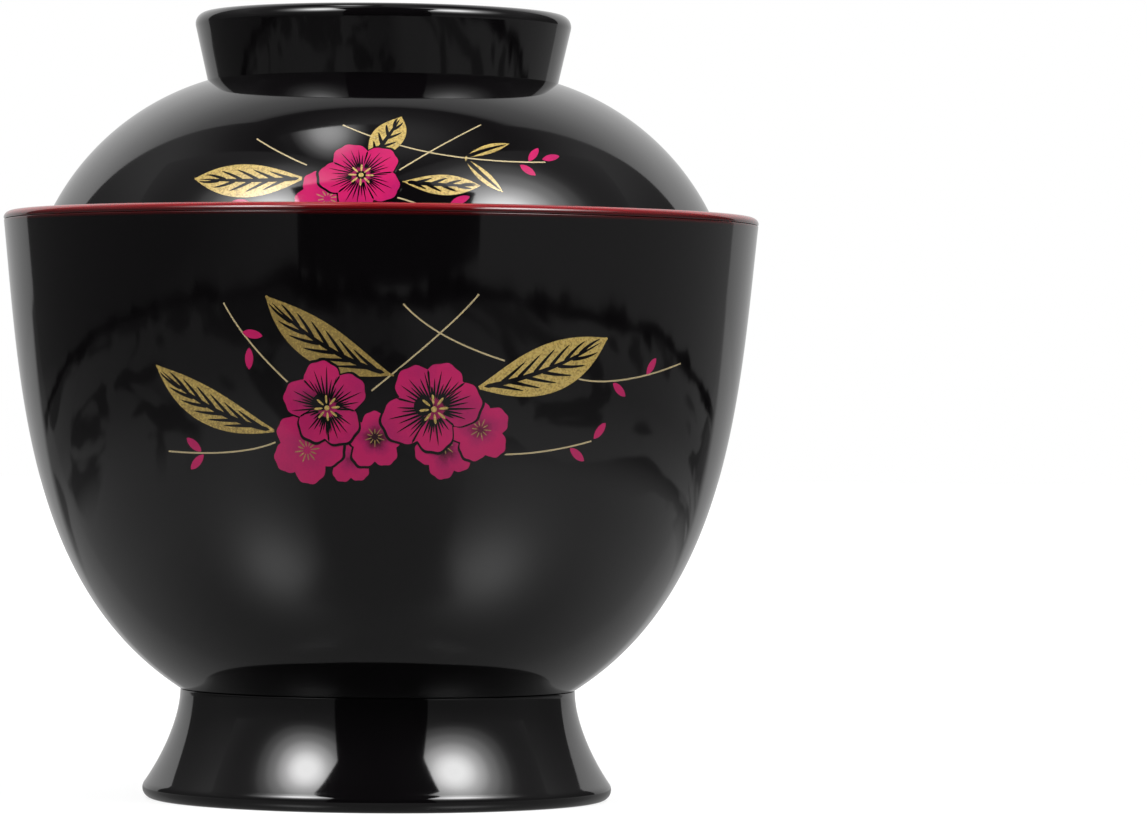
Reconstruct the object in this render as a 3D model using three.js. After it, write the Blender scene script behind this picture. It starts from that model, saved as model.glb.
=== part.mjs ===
// Lidded soup bowl: a deep lacquered bowl on a flared foot, with a domed lid that nests in its rim.
// Millimetres, +Z up. The origin is the centre of the foot's underside and +Z is the axis of turning.
import * as THREE from 'three';

// Bowl: outside sizes
const BOWL_HEIGHT = 89.5;
const RIM_DIAMETER = 115;
const FOOT_HEIGHT = 16.7;
const WAIST_DIAMETER = 60.2;

// Bowl: sweep of the wall from the waist to the rim, as directions above level and reaches along them
const WALL_START_ANGLE = 32.7;
const WALL_START_REACH = 28.1;
const WALL_END_ANGLE = 84;
const WALL_END_REACH = 25.1;

// Bowl: wall, floor and rim
const BOWL_WALL = 3.1;
const BOWL_LINER = 1;
const FLOOR_HEIGHT = 20.6;
const FLOOR_SWEEP = 7;
const FLOOR_REACH = 17;
const CORNER_REACH = 9;
const RIM_LIP = 2.3;
const RIM_ROUND = 2.2;
const RED_CROWN = 1.25;

// Foot: a flared ring bonded under the bowl
const FOOT_DIAMETER = 71.5;
const FOOT_WALL = 3.5;
const FOOT_LAND = 2.6;
const FOOT_START_REACH = 4.4;
const FOOT_END_REACH = 5;
const TOE_SLOPE = 58.4;
const TOE_ROUND = 1.55;
const FOOT_BOSS_HEIGHT = 1.2;

// Lid: a dome that is an arc below a flat crown
const LID_DROP = 9.2;
const LID_CROWN_RISE = 21.35;
const CROWN_FLAT_DIAMETER = 30.8;
const LID_WALL = 2.6;
const LID_LINER = 0.9;
const LID_CLEARANCE = 0.3;

// Knob: a flared ring bonded round the boss on the lid's crown
const KNOB_BASE_DIAMETER = 53.4;
const KNOB_TOP_DIAMETER = 57.3;
const KNOB_RISE = 8.75;
const KNOB_WALL = 3.4;
const KNOB_OUTER_LIP = 1.7;
const KNOB_INNER_LIP = 1;

// Fits: the film of glue between bonded faces, and the ease of a ring on its centring boss
const BOND_LINE = 0.05;
const BOSS_EASE = 0.1;

// Facets round the axis, and along the curves of the profiles
const SIDES = 48;
const WALL_STEPS = 9;
const FLOOR_STEPS = 5;
const DOME_STEPS = 10;
const FLARE_STEPS = 6;
const ROUND_STEPS = 4;

const BLACK_LACQUER = { color: 0x0c0b0c, roughness: 0.12, metalness: 0 };
const RED_LACQUER = { color: 0x8c1a20, roughness: 0.2, metalness: 0 };

const radians = THREE.MathUtils.degToRad;
const point = (radius, height) => new THREE.Vector2(radius, height);

// A unit vector at an angle above level
function heading(angle) {
  return point(Math.cos(angle), Math.sin(angle));
}

// Point at a distance along a heading
function reach(from, angle, distance) {
  return heading(angle).multiplyScalar(distance).add(from);
}

// Points on an arc of an ellipse about a centre, from one angle to another
function arcPoints(centre, wide, tall, from, to, steps) {
  const points = [];
  for (let step = 0; step <= steps; step += 1) {
    const angle = from + ((to - from) * step) / steps;
    points.push(point(centre.x + wide * Math.cos(angle), centre.y + tall * Math.sin(angle)));
  }
  return points;
}

// The value between two limits at which a rising measure reaches its target
function solve(measure, target, low, high) {
  let below = low;
  let above = high;
  for (let halving = 0; halving < 60; halving += 1) {
    const middle = (below + above) / 2;
    if (measure(middle) < target) {
      below = middle;
    } else {
      above = middle;
    }
  }
  return (below + above) / 2;
}

// Mesh of a profile, given counter-clockwise as radius and height, turned about +Z
function turned(name, profile, finish) {
  const geometry = new THREE.LatheGeometry(profile, SIDES);
  geometry.rotateX(Math.PI / 2);
  const mesh = new THREE.Mesh(geometry, new THREE.MeshStandardMaterial(finish));
  mesh.name = name;
  return mesh;
}

// Bowl: the outside of the wall
const rimRadius = RIM_DIAMETER / 2;
const waistRadius = WAIST_DIAMETER / 2;
const waist = point(waistRadius, FOOT_HEIGHT);
const wallTop = point(rimRadius, BOWL_HEIGHT - RIM_LIP);
const wall = new THREE.CubicBezierCurve(
  waist,
  reach(waist, radians(WALL_START_ANGLE), WALL_START_REACH),
  reach(wallTop, radians(WALL_END_ANGLE), -WALL_END_REACH),
  wallTop,
);

// Outward normal of a profile curve that runs outwards and up
function outward(curve, share) {
  const along = curve.getTangent(share);
  return point(along.y, -along.x);
}

// Point of the wall at a depth below its outside
function wallPoint(share, depth) {
  return outward(wall, share).multiplyScalar(-depth).add(wall.getPoint(share));
}

// Bowl: the inside, which sweeps from the floor into the wall
const sweepShare = solve((share) => wallPoint(share, BOWL_WALL).y, FLOOR_HEIGHT + FLOOR_SWEEP, 0, 1);
const sweepEnd = wallPoint(sweepShare, BOWL_WALL);
const floorCentre = point(0, FLOOR_HEIGHT);
const floor = new THREE.CubicBezierCurve(
  floorCentre,
  reach(floorCentre, 0, FLOOR_REACH),
  reach(sweepEnd, wall.getTangent(sweepShare).angle(), -CORNER_REACH),
  sweepEnd,
);

// The inside profile from the axis to the rim, set a depth into the wall
function insidePoints(depth) {
  const points = [point(0, FLOOR_HEIGHT - depth)];
  for (let step = 1; step < FLOOR_STEPS; step += 1) {
    const share = step / FLOOR_STEPS;
    points.push(outward(floor, share).multiplyScalar(depth).add(floor.getPoint(share)));
  }
  for (let step = 0; step <= WALL_STEPS; step += 1) {
    const share = sweepShare + ((1 - sweepShare) * step) / WALL_STEPS;
    points.push(wallPoint(share, BOWL_WALL - depth));
  }
  return points;
}

// Radius of the bowl's inside at a height on the wall
function insideRadius(height) {
  const share = solve((trial) => wallPoint(trial, BOWL_WALL).y, height, sweepShare, 1);
  return wallPoint(share, BOWL_WALL).x;
}

// Rim: an outer and an inner quarter round that meet at the top, split where the red crown starts
const crownJoint = BOWL_HEIGHT - RED_CROWN;
const lipRound = Math.min(RIM_ROUND, 0.8 * BOWL_WALL);
const lipCentre = point(rimRadius - lipRound, wallTop.y);

// Angle on the outer round at a height
function lipAngle(height) {
  return Math.asin((height - lipCentre.y) / RIM_LIP);
}

function bowlShell() {
  const boss = waistRadius - FOOT_WALL - BOSS_EASE;
  const inside = insidePoints(BOWL_LINER + BOND_LINE);
  const mouth = inside[inside.length - 1];
  const lip = arcPoints(lipCentre, lipRound, RIM_LIP, 0, lipAngle(crownJoint), 2);
  return [
    point(0, FOOT_HEIGHT - FOOT_BOSS_HEIGHT),
    point(boss, FOOT_HEIGHT - FOOT_BOSS_HEIGHT),
    point(boss, FOOT_HEIGHT),
    ...wall.getPoints(WALL_STEPS + 2),
    ...lip.slice(1),
    point(mouth.x, crownJoint),
    ...inside.reverse(),
  ];
}

function bowlLiner() {
  const back = insidePoints(BOWL_LINER);
  const face = insidePoints(0);
  const mouth = face[face.length - 1];
  const seat = crownJoint + BOND_LINE;
  const outerLip = arcPoints(lipCentre, lipRound, RIM_LIP, lipAngle(seat), Math.PI / 2, ROUND_STEPS);
  const innerCentre = point(lipCentre.x, mouth.y);
  const innerWide = lipCentre.x - mouth.x;
  const innerTall = BOWL_HEIGHT - mouth.y;
  const innerLip = arcPoints(innerCentre, innerWide, innerTall, Math.PI / 2, Math.PI, ROUND_STEPS);
  return [
    ...back,
    point(back[back.length - 1].x, seat),
    ...outerLip,
    ...innerLip.slice(1, -1),
    ...face.reverse(),
  ];
}

function footRing() {
  const toe = point(FOOT_DIAMETER / 2 - TOE_ROUND, TOE_ROUND);
  const top = point(waistRadius, FOOT_HEIGHT - BOND_LINE);
  const toeAngle = Math.PI / 2 - radians(TOE_SLOPE);
  const flareEnd = reach(toe, toeAngle, TOE_ROUND);
  const flare = new THREE.CubicBezierCurve(
    flareEnd,
    reach(flareEnd, toeAngle + Math.PI / 2, FOOT_END_REACH),
    reach(top, Math.PI / 2, -FOOT_START_REACH),
    top,
  );
  const heel = point(toe.x - FOOT_LAND, 0);
  return [
    heel,
    ...arcPoints(toe, TOE_ROUND, TOE_ROUND, -Math.PI / 2, toeAngle, ROUND_STEPS),
    ...flare.getPoints(FLARE_STEPS).slice(1),
    point(waistRadius - FOOT_WALL, top.y),
    heel,
  ];
}

// Lid: the dome's arc starts at the edge of a flat crown and reaches the seat in the bowl's mouth
const crownHeight = BOWL_HEIGHT + LID_CROWN_RISE;
const seatHeight = BOWL_HEIGHT - LID_DROP;
const seatRadius = insideRadius(seatHeight) - LID_CLEARANCE;
const flatRadius = CROWN_FLAT_DIAMETER / 2;
const domeDrop = crownHeight - seatHeight;
const domeReach = seatRadius - flatRadius;
const domeRadius = (domeReach ** 2 + domeDrop ** 2) / (2 * domeDrop);
const domeCentre = point(flatRadius, crownHeight - domeRadius);
const domeEdge = Math.atan2(seatHeight - domeCentre.y, domeReach);

// Height of a dome surface at a radius, at a depth below the outside
function domeHeight(radius, depth) {
  return domeCentre.y + Math.sqrt((domeRadius - depth) ** 2 - (radius - flatRadius) ** 2);
}

// Arc of the dome from its edge up to an angle, at a depth below the outside
function domeArc(depth, from, to) {
  const radius = domeRadius - depth;
  return arcPoints(domeCentre, radius, radius, from, to, DOME_STEPS);
}

const knobBore = KNOB_BASE_DIAMETER / 2 - KNOB_WALL;
const bossRadius = knobBore - BOSS_EASE;

function lidShell() {
  const depth = LID_WALL - LID_LINER - BOND_LINE;
  const bossAngle = Math.acos((bossRadius - flatRadius) / domeRadius);
  return [
    point(0, crownHeight - depth),
    ...domeArc(depth, Math.PI / 2, domeEdge),
    ...domeArc(0, domeEdge, bossAngle),
    point(bossRadius, crownHeight),
    point(0, crownHeight),
  ];
}

function lidLiner() {
  const half = LID_WALL / 2;
  const middle = domeRadius - half;
  const backEdge = domeEdge - BOND_LINE / domeRadius;
  const edge = [];
  for (let step = 0; step <= 2 * ROUND_STEPS; step += 1) {
    const turn = Math.PI - (Math.PI * step) / (2 * ROUND_STEPS);
    const along = backEdge - (half * Math.sin(turn)) / middle;
    edge.push(reach(domeCentre, along, middle + half * Math.cos(turn)));
  }
  return [
    point(0, crownHeight - LID_WALL),
    ...domeArc(LID_WALL, Math.PI / 2, backEdge),
    ...edge.slice(1),
    ...domeArc(LID_WALL - LID_LINER, backEdge, Math.PI / 2),
    point(0, crownHeight - LID_WALL + LID_LINER),
  ];
}

function lidKnobRing() {
  const baseRadius = KNOB_BASE_DIAMETER / 2;
  const topRadius = KNOB_TOP_DIAMETER / 2;
  const top = crownHeight + KNOB_RISE;
  const middle = (baseRadius + knobBore) / 2;
  const seat = [knobBore, middle, baseRadius].map((radius) => point(radius, domeHeight(radius, -BOND_LINE)));
  const lean = Math.atan2(topRadius - baseRadius, top - KNOB_OUTER_LIP - seat[2].y);
  const outer = point(topRadius - KNOB_OUTER_LIP, top - KNOB_OUTER_LIP);
  const inner = point(topRadius - KNOB_WALL + KNOB_INNER_LIP, top - KNOB_INNER_LIP);
  return [
    ...seat,
    ...arcPoints(outer, KNOB_OUTER_LIP, KNOB_OUTER_LIP, -lean, Math.PI / 2, ROUND_STEPS),
    ...arcPoints(inner, KNOB_INNER_LIP, KNOB_INNER_LIP, Math.PI / 2, Math.PI - lean, ROUND_STEPS),
    seat[0],
  ];
}

// The two loose halves: the bowl with its liner and foot, and the lid with its liner and knob
const bowl = new THREE.Group();
bowl.add(
  turned('bowl_shell', bowlShell(), BLACK_LACQUER),
  turned('bowl_liner', bowlLiner(), RED_LACQUER),
  turned('foot_ring', footRing(), BLACK_LACQUER),
);

const lid = new THREE.Group();
lid.add(
  turned('lid_shell', lidShell(), BLACK_LACQUER),
  turned('lid_liner', lidLiner(), RED_LACQUER),
  turned('lid_knob_ring', lidKnobRing(), BLACK_LACQUER),
);

const lidded_bowl = new THREE.Group();
lidded_bowl.add(bowl, lid);

export default lidded_bowl;
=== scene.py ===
"""Dresses a lidded soup bowl: black lacquer outside, red inside, and a blossom spray printed on its front."""

from functools import partial
from math import atan2, cos, pi, radians, sin
from types import SimpleNamespace

import bpy
import numpy as np
from bpy.props import FloatProperty, FloatVectorProperty, IntProperty, PointerProperty
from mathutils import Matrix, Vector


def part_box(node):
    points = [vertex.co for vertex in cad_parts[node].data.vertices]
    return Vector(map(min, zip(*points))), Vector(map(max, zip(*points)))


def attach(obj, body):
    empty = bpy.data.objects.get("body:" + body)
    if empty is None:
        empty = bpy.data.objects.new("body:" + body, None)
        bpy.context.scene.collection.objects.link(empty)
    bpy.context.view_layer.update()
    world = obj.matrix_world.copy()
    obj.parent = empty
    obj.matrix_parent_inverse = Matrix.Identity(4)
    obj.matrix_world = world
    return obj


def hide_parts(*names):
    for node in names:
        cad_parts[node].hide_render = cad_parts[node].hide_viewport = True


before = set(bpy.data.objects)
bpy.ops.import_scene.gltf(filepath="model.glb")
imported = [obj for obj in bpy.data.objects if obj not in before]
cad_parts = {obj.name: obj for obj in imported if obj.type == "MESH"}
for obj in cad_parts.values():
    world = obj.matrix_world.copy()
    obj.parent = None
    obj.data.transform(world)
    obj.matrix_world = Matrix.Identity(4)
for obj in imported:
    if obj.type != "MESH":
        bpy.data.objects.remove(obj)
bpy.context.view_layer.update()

bl_info = {
    "name": "Lidded Soup Bowl",
    "version": (1, 0, 0),
    "blender": (4, 5, 0),
    "location": "View3D > Sidebar > Soup Bowl",
    "description": "Builds a lacquered soup bowl with its lid, its printed spray and a small studio",
    "category": "Add Mesh",
}

MM = 0.001

# Sweep of the bowl's wall and floor: directions above level in degrees, reaches along them in millimetres
WALL_START_ANGLE = 32.7
WALL_START_REACH = 28.1
WALL_END_ANGLE = 84.0
WALL_END_REACH = 25.1
FLOOR_SWEEP = 7.0
FLOOR_REACH = 17.0
CORNER_REACH = 9.0

# Sweep of the foot's flare: the toe's slope in degrees, reaches of its ends in millimetres
TOE_SLOPE = 55.5
FOOT_START_REACH = 4.4
FOOT_END_REACH = 5.0

# Ease of a ring on the boss that centres it, in millimetres
BOSS_EASE = 0.1

# Depth by which the knob is let into the dome, so that lacquer closes their joint, in millimetres
KNOB_SINK = 0.04

# Drop of the lacquered rim below the CAD's, in millimetres
RIM_SINK = 0.48

# Open groove between the red crown and the black wall, in millimetres
RIM_GROOVE = 0.05

# Depths below the rim's top between which painted shade darkens its red outside downwards, where less light
# falls, in millimetres
PAINTED_RIM_SHADE = (0.15, 1.05)

# Depths below the rim's top between which red overspray fades out on the black wall, in millimetres
RED_DUST = (1.3, 1.9)

# Share of the red left where it is dimmed most: in the red dust on the black wall, and at the foot of the
# painted shade on the rim's outside
DIMMED_RED = 0.18

# Radius past which a layer counts as the rim's outside, in millimetres
RIM_OUTSIDE_RADIUS = 56.0

# Height of the bowl's rim above the lid's seat, in millimetres
LID_DROP = 9.2

# Points along the curves of a profile
WALL_STEPS = 110
FLOOR_STEPS = 40
DOME_STEPS = 80
FLARE_STEPS = 40
ROUND_STEPS = 14
EASE_STEPS = 7

# Points at which a curve is tried to find a place on it, and at which the wall's skin is tabled
TRIAL_STEPS = 400
SKIN_STEPS = 2000

# Angle between faces past which an edge shades sharp, in degrees
SHARP_ANGLE = 40.0


def linear(hex_code):
    """Linear colour of an sRGB hex value."""
    parts = [int(hex_code[at : at + 2], 16) / 255 for at in (0, 2, 4)]
    return tuple(part / 12.92 if part <= 0.04045 else ((part + 0.055) / 1.055) ** 2.4 for part in parts)


def in_mm(lengths):
    """Every length of a property group, in millimetres."""
    return SimpleNamespace(**{name: getattr(lengths, name) / MM for name in type(lengths).__annotations__})


def top_corner(node):
    """Highest corner of a CAD node's box, in millimetres."""
    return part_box(node)[1] / MM


def rim_top():
    """Height of the lacquered rim, in millimetres."""
    return top_corner("bowl_liner").z - RIM_SINK


def length(name, description, millimetres):
    """A length that the user can change, kept in metres."""
    return FloatProperty(
        name=name, description=description, default=millimetres * MM, unit="LENGTH", precision=5
    )


def colour(name, description, hex_code):
    """A colour that the user can change, given as sRGB hex."""
    return FloatVectorProperty(
        name=name, description=description, subtype="COLOR", size=3, min=0, max=1, default=linear(hex_code)
    )


def share(name, description, default, most):
    """A plain number that the user can change."""
    return FloatProperty(name=name, description=description, default=default, min=0, max=most, precision=3)


class TurnedSizes(bpy.types.PropertyGroup):
    """Sizes of the six turned pieces that the CAD boxes don't give"""

    waist: length("Waist radius", "Radius where the bowl meets its foot", 30.1)
    wall: length("Bowl wall", "Whole thickness of the bowl's wall", 3.1)
    red_layer: length("Red layer", "Thickness of the bowl's red inner layer", 1.0)
    red_crown: length("Red crown", "Height of the red band on the rim", 1.3)
    rim_rise: length("Rim rise", "Height of the rim's outer round", 1.0)
    rim_round: length("Rim round", "Width of the rim's outer round", 1.3)
    floor: length("Floor height", "Height of the bowl's inside at its centre", 20.6)
    foot_wall: length("Foot wall", "Thickness of the foot where it meets the bowl", 3.5)
    foot_land: length("Foot land", "Width of the ring that the foot stands on", 2.6)
    toe_round: length("Toe round", "Radius of the foot's lower edge", 1.55)
    boss: length("Boss height", "Height of the boss that centres the foot", 1.2)
    lid_wall: length("Lid wall", "Whole thickness of the lid", 2.6)
    lid_layer: length("Lid red layer", "Thickness of the lid's red inner layer", 0.9)
    crown_flat: length("Crown flat", "Radius of the flat crown inside the knob", 15.4)
    knob_base: length("Knob base", "Radius of the ring knob where it meets the lid", 26.7)
    knob_top: length("Knob top", "Radius of the ring knob at its upper edge", 28.65)
    knob_wall: length("Knob wall", "Thickness of the ring knob", 3.4)
    knob_outer_lip: length("Knob outer lip", "Radius of the knob's outer upper edge", 1.7)
    knob_inner_lip: length("Knob inner lip", "Radius of the knob's inner upper edge", 1.0)
    bond: length("Bond line", "Film of glue between bonded faces", 0.05)
    ease: length("Eased edges", "Reach of the small round on every sharp edge", 0.18)


class PrintSizes(bpy.types.PropertyGroup):
    """Sizes of the printed spray"""

    film: length("Film", "Thickness of one printed layer", 0.01)
    stem: length("Stem", "Width of a printed stem", 0.24)
    vein: length("Vein", "Width of a leaf's dark midrib at its base", 0.66)
    bud_length: length("Bud length", "Length of a bud", 3.1)
    bud_width: length("Bud width", "Width of a bud", 1.25)
    outline: length("Outline", "Dark gap round each blossom", 0.42)


class Finishes(bpy.types.PropertyGroup):
    """Colours of the lacquers and inks"""

    black: colour("Black lacquer", "Colour of the black outside", "050405")
    red: colour("Red lacquer", "Colour of the red inside and rim", "84131A")
    gold: colour("Gold ink", "Colour of the leaves", "BEA355")
    gold_dark: colour("Dark gold ink", "Colour of the gold between its flakes", "806A33")
    gold_pale: colour("Pale gold ink", "Colour of the stems and of the brightest flakes", "B0A079")
    pink: colour("Magenta ink", "Colour of the petals", "AC1A56")
    plum: colour("Plum ink", "Colour of a rear blossom's centre", "240A14")


class StudioSizes(bpy.types.PropertyGroup):
    """Camera and lights"""

    eye_side: length("Eye to the side", "How far the camera stands right of the axis", 29.5)
    eye_back: length("Eye distance", "How far the camera stands from the axis", 900.0)
    eye_height: length("Eye height", "Height of the camera above the floor", 59.5)
    lens: FloatProperty(
        name="Lens",
        description="Focal length on a 36 mm sensor, in millimetres",
        default=185.0,
        subtype="DISTANCE_CAMERA",
    )
    roll: FloatProperty(
        name="Roll",
        description="Turn of the camera about its line of sight",
        default=radians(-0.5),
        subtype="ANGLE",
    )
    softbox: share("Softbox", "Radiance of the two softboxes at their brightest", 19.0, 100.0)
    overhead: share("Overhead lamp", "Radiance of the lamp overhead at its brightest", 5.3, 100.0)
    screen: share("White screen", "Radiance of the white screen behind the bowl", 1.0, 10.0)
    ambient: share("Ambient", "Radiance overhead of the even light from above", 0.9, 10.0)


class SoupBowlSettings(bpy.types.PropertyGroup):
    """All settings of the soup bowl"""

    sides: IntProperty(name="Sides", description="Facets round the axis", default=256, min=24, max=512)
    sizes: PointerProperty(name="Turned pieces", description="Sizes of the turned pieces", type=TurnedSizes)
    spray: PointerProperty(name="Printed spray", description="Sizes of the print", type=PrintSizes)
    finishes: PointerProperty(name="Finishes", description="Lacquers and inks", type=Finishes)
    studio: PointerProperty(name="Studio", description="Camera and lights", type=StudioSizes)


# Curves


def heading(degrees):
    """Unit vector at an angle above level."""
    return np.array((cos(radians(degrees)), sin(radians(degrees))))


def bezier(controls, shares):
    """Points and unit headings of a Bezier curve: control points are mixed in pairs until one is left."""
    mixed = np.asarray(controls, float)[:, None, :]
    step = np.asarray(shares, float)[:, None]
    while len(mixed) > 2:
        mixed = mixed[:-1] * (1 - step) + mixed[1:] * step
    along = mixed[1] - mixed[0]
    along = along / np.linalg.norm(along, axis=1, keepdims=True)
    return mixed[0] * (1 - step) + mixed[1] * step, along


def through(start, middle, end):
    """Control points of the Bezier curve that passes through three points."""
    start, middle, end = (np.asarray(place, float) for place in (start, middle, end))
    return start, 2 * middle - (start + end) / 2, end


def outward(headings):
    """Normals to the right of a profile's headings, which is outwards on a counter-clockwise profile."""
    return np.column_stack((headings[:, 1], -headings[:, 0]))


def arc(centre, wide, tall, start, end, steps=ROUND_STEPS):
    """Points of an ellipse arc: centre + (wide cos a, tall sin a) for a from start to end."""
    angle = np.linspace(start, end, steps)
    return np.column_stack((centre[0] + wide * np.cos(angle), centre[1] + tall * np.sin(angle)))


def trimmed(run, start, end):
    """A run of points with a length cut from each end, and a close point kept beside each cut."""
    along = np.concatenate(((0.0,), np.cumsum(np.linalg.norm(np.diff(run, axis=0), axis=1))))
    stops = (start, 1.5 * start, along[-1] - 1.5 * end, along[-1] - end)
    kept = along[(along > stops[1] + 1e-6) & (along < stops[2] - 1e-6)]
    places = np.unique(np.concatenate((stops[:2], kept, stops[2:])))
    return np.column_stack([np.interp(places, along, run[:, axis]) for axis in (0, 1)])


def eased(runs, ease, closed=False):
    """One profile from runs that meet in corners, each made a Bezier that reaches ease along both runs."""
    runs = [np.asarray(run, float) for run in runs]
    last = len(runs) - 1
    cuts = [
        trimmed(run, ease if closed or at > 0 else 0, ease if closed or at < last else 0)
        for at, run in enumerate(runs)
    ]
    parts = []
    for at, cut in enumerate(cuts):
        parts.append(cut)
        if closed or at < last:
            after = cuts[(at + 1) % len(cuts)]
            parts.append(bezier((cut[-1], runs[at][-1], after[0]), np.linspace(0, 1, EASE_STEPS))[0][1:-1])
    return np.vstack(parts)


# Sections of the bowl and the lid


class BowlForm:
    """Curves of the bowl's section as (radius, height) in millimetres."""

    def __init__(self, sizes):
        self.size = in_mm(sizes)
        self.top = rim_top()
        self.joint = self.top - self.size.red_crown
        self.base = top_corner("foot_ring").z + self.size.bond
        self.waist = np.array((self.size.waist, self.base))
        shoulder = np.array((top_corner("bowl_shell").x, self.top - self.size.rim_rise))
        self.lip = shoulder - (self.size.rim_round, 0)
        self.controls = (
            self.waist,
            self.waist + WALL_START_REACH * heading(WALL_START_ANGLE),
            shoulder - WALL_END_REACH * heading(WALL_END_ANGLE),
            shoulder,
        )

    def wall(self, shares, depth=0.0):
        """Wall from waist to rim: a cubic Bezier, set in along its normals by depth."""
        points, along = bezier(self.controls, shares)
        return points - depth * outward(along)

    def wall_share(self, height, depth=0.0):
        """Share along the wall at which its face at a depth is at a height."""
        trial = np.linspace(0, 1, TRIAL_STEPS)
        return np.interp(height, self.wall(trial, depth)[:, 1], trial)

    def inside(self, depth):
        """Inside from axis to mouth: a floor Bezier, then the wall's inner face, both set out by depth."""
        thick = self.size.wall
        sweep = self.wall_share(self.size.floor + FLOOR_SWEEP, thick)
        corner, along = bezier(self.controls, (sweep,))
        corner = corner[0] - thick * outward(along)[0]
        centre = np.array((0.0, self.size.floor))
        controls = (centre, centre + (FLOOR_REACH, 0), corner - CORNER_REACH * along[0], corner)
        points, along = bezier(controls, np.linspace(0, 1, FLOOR_STEPS))
        wall = self.wall(np.linspace(sweep, 1, WALL_STEPS), thick - depth)
        return np.vstack(((points + depth * outward(along))[:-1], wall))

    def shell(self):
        """Black outside, from the boss under the base, up the wall and down the inside of the red layer."""
        boss = self.waist[0] - self.size.foot_wall - BOSS_EASE
        low = self.base - self.size.boss
        outside = self.wall(np.linspace(0, self.wall_share(self.joint), WALL_STEPS))
        inside = self.inside(self.size.red_layer + self.size.bond)[::-1]
        inside = inside[inside[:, 1] < self.joint]
        mouth = (inside[0][0], self.joint)
        runs = (
            ((0, low), (boss, low)),
            ((boss, low), (boss, self.base)),
            ((boss, self.base), self.waist),
            outside,
            (outside[-1], mouth),
            np.vstack((mouth, inside)),
        )
        return eased(runs, self.size.ease)

    def liner(self):
        """Red layer: its back from the axis up, the crown over the rim, and its face down to the axis."""
        seat = self.joint + RIM_GROOVE
        back = self.inside(self.size.red_layer)
        back = back[back[:, 1] < seat]
        face = self.inside(0.0)
        mouth = face[-1]
        shelf = (back[-1][0], seat)
        side = self.wall(np.linspace(self.wall_share(seat), 1, ROUND_STEPS))
        outer = np.vstack((side, arc(self.lip, self.size.rim_round, self.size.rim_rise, 0, pi / 2)[1:]))
        inner = arc((self.lip[0], mouth[1]), self.lip[0] - mouth[0], self.top - mouth[1], pi / 2, pi)
        runs = (np.vstack((back, shelf)), (shelf, outer[0]), np.vstack((outer, inner[1:-1], face[::-1])))
        return eased(runs, self.size.ease)

    def foot_section(self):
        """Foot: the land, the toe's round, the flare as a cubic Bezier, the top and the sloping bore."""
        toe_round = self.size.toe_round
        toe = np.array((top_corner("foot_ring").x - toe_round, toe_round))
        top = self.waist - (0, self.size.bond)
        lean = pi / 2 - radians(TOE_SLOPE)
        start = toe + toe_round * np.array((cos(lean), sin(lean)))
        rise = start + FOOT_END_REACH * np.array((-sin(lean), cos(lean)))
        controls = (start, rise, top - (0, FOOT_START_REACH), top)
        heel = np.array((toe[0] - self.size.foot_land, 0.0))
        bore = top - (self.size.foot_wall, 0)
        flare = bezier(controls, np.linspace(0, 1, FLARE_STEPS))[0]
        outside = np.vstack((heel, arc(toe, toe_round, toe_round, -pi / 2, lean), flare[1:]))
        return eased((outside, (top, bore), (bore, heel)), self.size.ease, closed=True)


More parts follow.
